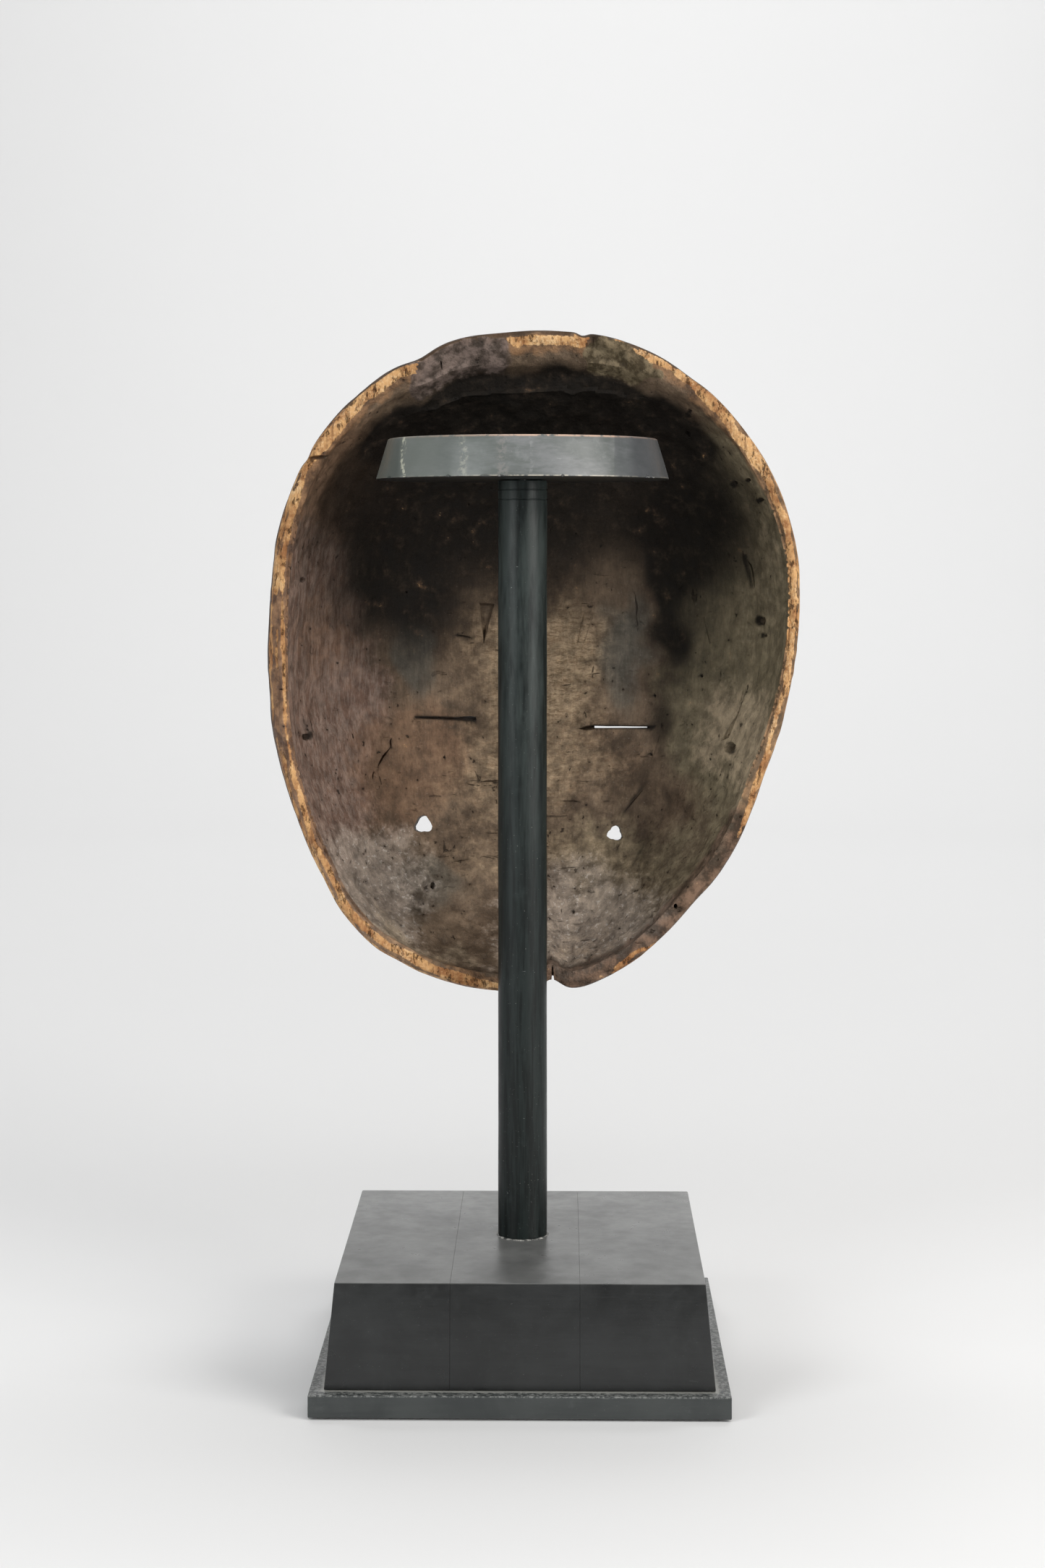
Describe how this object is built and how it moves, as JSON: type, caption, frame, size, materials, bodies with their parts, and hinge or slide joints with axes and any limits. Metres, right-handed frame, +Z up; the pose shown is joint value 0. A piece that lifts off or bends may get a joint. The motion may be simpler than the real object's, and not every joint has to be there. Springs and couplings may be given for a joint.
{
  "type": "carved wooden face mask on a display stand",
  "caption": "Hollow carved wooden face mask with eye slits, hung on the round head of a black-stained wooden display stand with a post, a tapered block and a plinth.",
  "frame": {"origin": "centre of the felt's underside, where the stand rests on the table", "axes": "+Z up along the post, +Y the way the mask's face looks, so the hollow back looks along -Y, and +X to the right when the hollow is seen"},
  "size_m": [0.2458, 0.2128, 0.4627],
  "materials": {
    "carved_wood": "old carved wood, smoked dark, its rim worn to bare tan wood",
    "stained_disc": "black stain with a worn satin sheen",
    "stained_post": "black stain, satin, on a round dowel",
    "stained_board": "black stain, satin, on glued boards",
    "stained_plinth": "black stain, satin, dusty on top",
    "felt": "thin felt",
    "zinc_steel": "zinc plated"
  },
  "bodies": {
    "stand": {"support_disc": "stained_disc", "post": "stained_post", "block_board_left": "stained_board", "block_board_middle": "stained_board", "block_board_right": "stained_board", "plinth_board": "stained_plinth", "base_felt": "felt", "disc_screw": "zinc_steel", "post_bolt": "zinc_steel", "post_bolt_washer": "zinc_steel", "plinth_screw_1": "zinc_steel", "plinth_screw_2": "zinc_steel", "plinth_screw_3": "zinc_steel", "plinth_screw_4": "zinc_steel"},
    "mask": {"mask_shell": "carved_wood"}
  },
  "joints": [
    {"name": "mask_lift_off", "type": "slide", "parent": "stand", "child": "mask", "axis": [0, 0.9, 0.4359], "range_m": [0, 0.15]}
  ]
}
